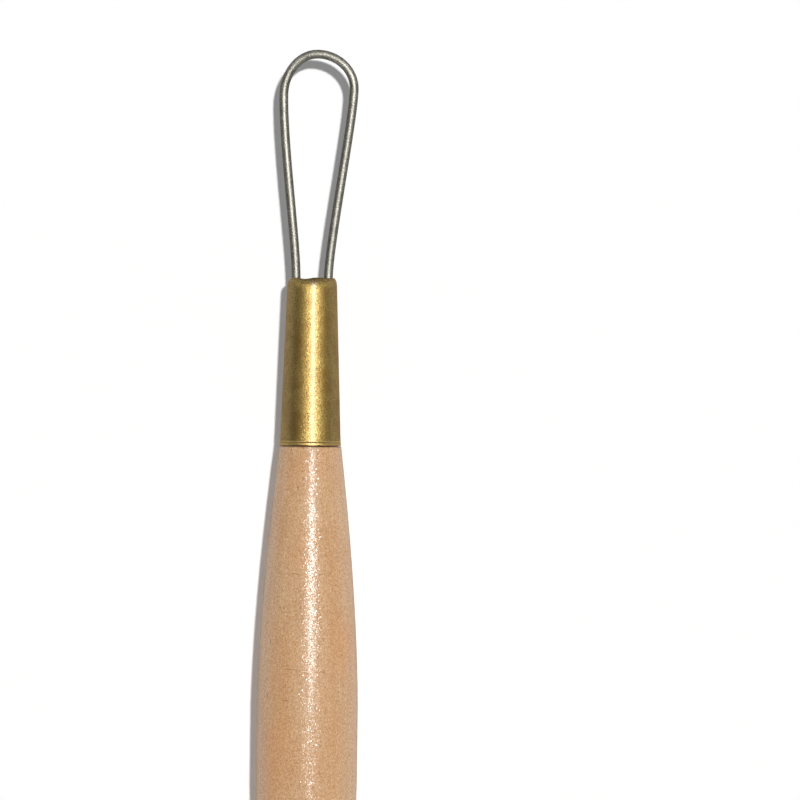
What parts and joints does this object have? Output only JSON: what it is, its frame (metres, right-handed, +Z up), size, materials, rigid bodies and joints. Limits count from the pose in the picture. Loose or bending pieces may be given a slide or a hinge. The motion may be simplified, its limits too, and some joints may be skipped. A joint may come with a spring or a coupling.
{
  "type": "pottery wire loop tool",
  "caption": "Clay trimming tool with a barrel-shaped wood handle, a tapered brass ferrule at each end, a pear wire loop at one end and a flared wire loop at the other.",
  "frame": {"origin": "the point on the table under the middle of the handle, where its belly rests", "axes": "+Y along the tool towards the pear loop, +Z up and square to both loops, X across the loops"},
  "size_m": [0.0159, 0.2032, 0.0149],
  "materials": {
    "handle_wood": "satin lacquer",
    "ferrule_brass": "satin",
    "pear_wire": "drawn bright",
    "flared_wire": "drawn dull",
    "cement": "cured adhesive"
  },
  "bodies": {
    "root": {"handle": "handle_wood", "pear_ferrule": "ferrule_brass", "flared_ferrule": "ferrule_brass", "pear_loop": "pear_wire", "flared_loop": "flared_wire", "pear_cement": "cement", "flared_cement": "cement"}
  },
  "joints": []
}
